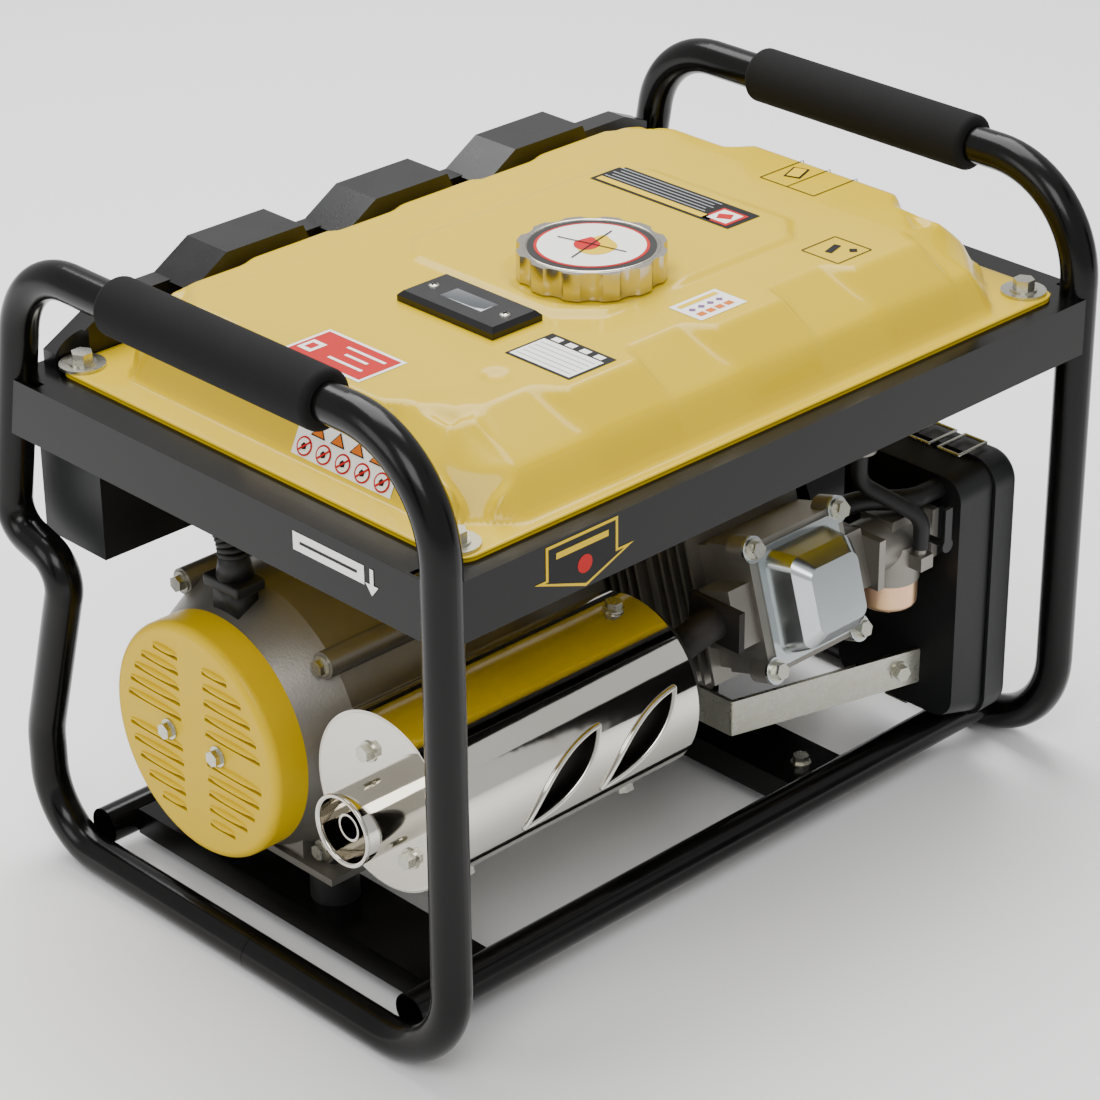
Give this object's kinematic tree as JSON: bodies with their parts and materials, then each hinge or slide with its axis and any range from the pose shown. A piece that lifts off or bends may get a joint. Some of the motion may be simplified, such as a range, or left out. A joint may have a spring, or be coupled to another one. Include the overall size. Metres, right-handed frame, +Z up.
{
  "type": "portable generator",
  "caption": "Open-frame portable generator: fuel tank above a petrol engine, alternator and muffler inside two carrying hoops.",
  "frame": {"origin": "on the floor under the middle of the frame", "axes": "+X along the crankshaft towards the recoil starter, +Y towards the control panel, +Z up"},
  "size_m": [0.603, 0.434, 0.4464],
  "materials": {
    "frame_paint": "gloss",
    "tank_paint": "gloss",
    "foam": "matt",
    "rubber": "matt",
    "zinc": "zinc plated",
    "cap_steel": "polished",
    "black_plastic": "gloss",
    "matt_plastic": "matt",
    "yellow_plastic": "gloss",
    "cast_alloy": "as cast",
    "machined_steel": "machined",
    "pressed_cover": "zinc plated",
    "muffler_chrome": "polished",
    "exhaust_steel": "heat blackened",
    "bowl_brass": "plated",
    "copper": "lacquered winding",
    "white_plastic": "gloss",
    "red_plastic": "gloss",
    "filter_foam": "foam"
  },
  "bodies": {
    "frame": {"air_filter_base": "matt_plastic", "air_filter_cover": "matt_plastic", "air_filter_element": "filter_foam", "air_filter_strut": "zinc", "alternator_cover": "yellow_plastic", "alternator_front_housing": "cast_alloy", "alternator_rear_housing": "cast_alloy", "base_rails": "frame_paint", "blower_housing": "frame_paint", "carburetor": "cast_alloy", "crankcase": "cast_alloy", "cylinder_barrel": "cast_alloy", "cylinder_head": "cast_alloy", "earth_terminal": "bowl_brass", "exhaust_header": "exhaust_steel", "exhaust_tip": "muffler_chrome", "frame_hoops": "frame_paint", "fuel_bowl": "bowl_brass", "fuel_valve": "cast_alloy", "gauge_bezel": "black_plastic", "handle_grips": "foam", "hex_flange_bolts": "zinc", "ignition_coil": "matt_plastic", "muffler_caps": "muffler_chrome", "muffler_core": "exhaust_steel", "muffler_shell": "muffler_chrome", "panel_housing": "matt_plastic", "panel_sockets": "matt_plastic", "panel_trim": "black_plastic", "piston": "cast_alloy", "plug_lead": "rubber", "recoil_cover": "frame_paint", "rubber_hoses": "rubber", "rubber_mounts": "rubber", "spark_plug": "white_plastic", "stator_core": "machined_steel", "stator_winding": "copper", "tank_belt": "frame_paint", "tank_bolts": "zinc", "tank_lower": "tank_paint", "tank_upper": "tank_paint", "valve_cover": "pressed_cover", "wiring_conduit": "rubber"},
    "crank": {"crankshaft": "machined_steel", "rotor": "machined_steel", "flywheel": "cast_alloy"},
    "rod": {"connecting_rod": "cast_alloy"},
    "reel": {"recoil_reel": "matt_plastic"},
    "handle": {"pull_handle": "matt_plastic"},
    "cap": {"fuel_cap": "cap_steel"},
    "needle": {"gauge_needle": "red_plastic"},
    "valve_lever": {"fuel_valve_lever": "matt_plastic"},
    "choke": {"choke_lever": "matt_plastic"},
    "dipstick": {"dipstick": "matt_plastic"},
    "clips_top": {"air_filter_clips_top": "zinc"},
    "clips_low": {"air_filter_clips_low": "zinc"},
    "flap_left": {"socket_flap_left": "matt_plastic"},
    "flap_right": {"socket_flap_right": "matt_plastic"},
    "button": {"breaker_button": "white_plastic"},
    "switch": {"engine_switch": "red_plastic"}
  },
  "joints": [
    {"name": "crank_spin", "type": "hinge", "parent": "frame", "child": "crank", "pos_m": [0.065, 0.042, 0.137], "axis": [1, 0, 0], "continuous": true},
    {"name": "rod_swing", "type": "hinge", "parent": "crank", "child": "rod", "pos_m": [0.065, 0.02037, 0.1432], "axis": [1, 0, 0], "continuous": true},
    {"name": "reel_spin", "type": "hinge", "parent": "frame", "child": "reel", "pos_m": [0.247, 0.042, 0.137], "axis": [1, 0, 0], "range_deg": [0, 688], "stiffness_Nm_per_rad": 0.02},
    {"name": "handle_pull", "type": "slide", "parent": "frame", "child": "handle", "axis": [1, 0, 0], "range_m": [0, 0.601]},
    {"name": "cap_turn", "type": "hinge", "parent": "frame", "child": "cap", "pos_m": [0, -0.038, 0.408], "axis": [0, 0, 1], "range_deg": [0, 90]},
    {"name": "needle_tilt", "type": "hinge", "parent": "frame", "child": "needle", "pos_m": [-0.094, -0.04, 0.3975], "axis": [1, 0, 0], "range_deg": [-15, 8]},
    {"name": "valve_lever_turn", "type": "hinge", "parent": "frame", "child": "valve_lever", "pos_m": [0.138, -0.16, 0.277], "axis": [0, 1, 0], "range_deg": [0, 90]},
    {"name": "choke_turn", "type": "hinge", "parent": "frame", "child": "choke", "pos_m": [0.183, -0.15025, 0.19213], "axis": [0, 1, 0], "range_deg": [-75, 0]},
    {"name": "dipstick_turn", "type": "hinge", "parent": "frame", "child": "dipstick", "pos_m": [0.027, 0.11, 0.084], "axis": [0, 1, 0], "range_deg": [0, 720]},
    {"name": "clips_top_swing", "type": "hinge", "parent": "frame", "child": "clips_top", "pos_m": [0.214, -0.132, 0.241], "axis": [0, 1, 0], "range_deg": [-100, 0]},
    {"name": "clips_low_swing", "type": "hinge", "parent": "frame", "child": "clips_low", "pos_m": [0.214, -0.109, 0.038], "axis": [0, 1, 0], "range_deg": [0, 100]},
    {"name": "flap_left_lift", "type": "hinge", "parent": "frame", "child": "flap_left", "pos_m": [-0.15, 0.20915, 0.296], "axis": [1, 0, 0], "range_deg": [0, 120]},
    {"name": "flap_right_lift", "type": "hinge", "parent": "frame", "child": "flap_right", "pos_m": [-0.05, 0.20915, 0.296], "axis": [1, 0, 0], "range_deg": [0, 120]},
    {"name": "breaker_press", "type": "slide", "parent": "frame", "child": "button", "axis": [0, -1, 0], "range_m": [0, 0.003], "stiffness_N_per_m": 300},
    {"name": "engine_switch_rock", "type": "hinge", "parent": "frame", "child": "switch", "pos_m": [0.19, 0.2, 0.268], "axis": [1, 0, 0], "range_deg": [-20, 0]}
  ],
  "couplings": [
    {"joint": "rod_swing", "follows": "crank_spin", "ratio": -1},
    {"joint": "handle_pull", "follows": "reel_spin", "m_per_rad": 0.05}
  ]
}
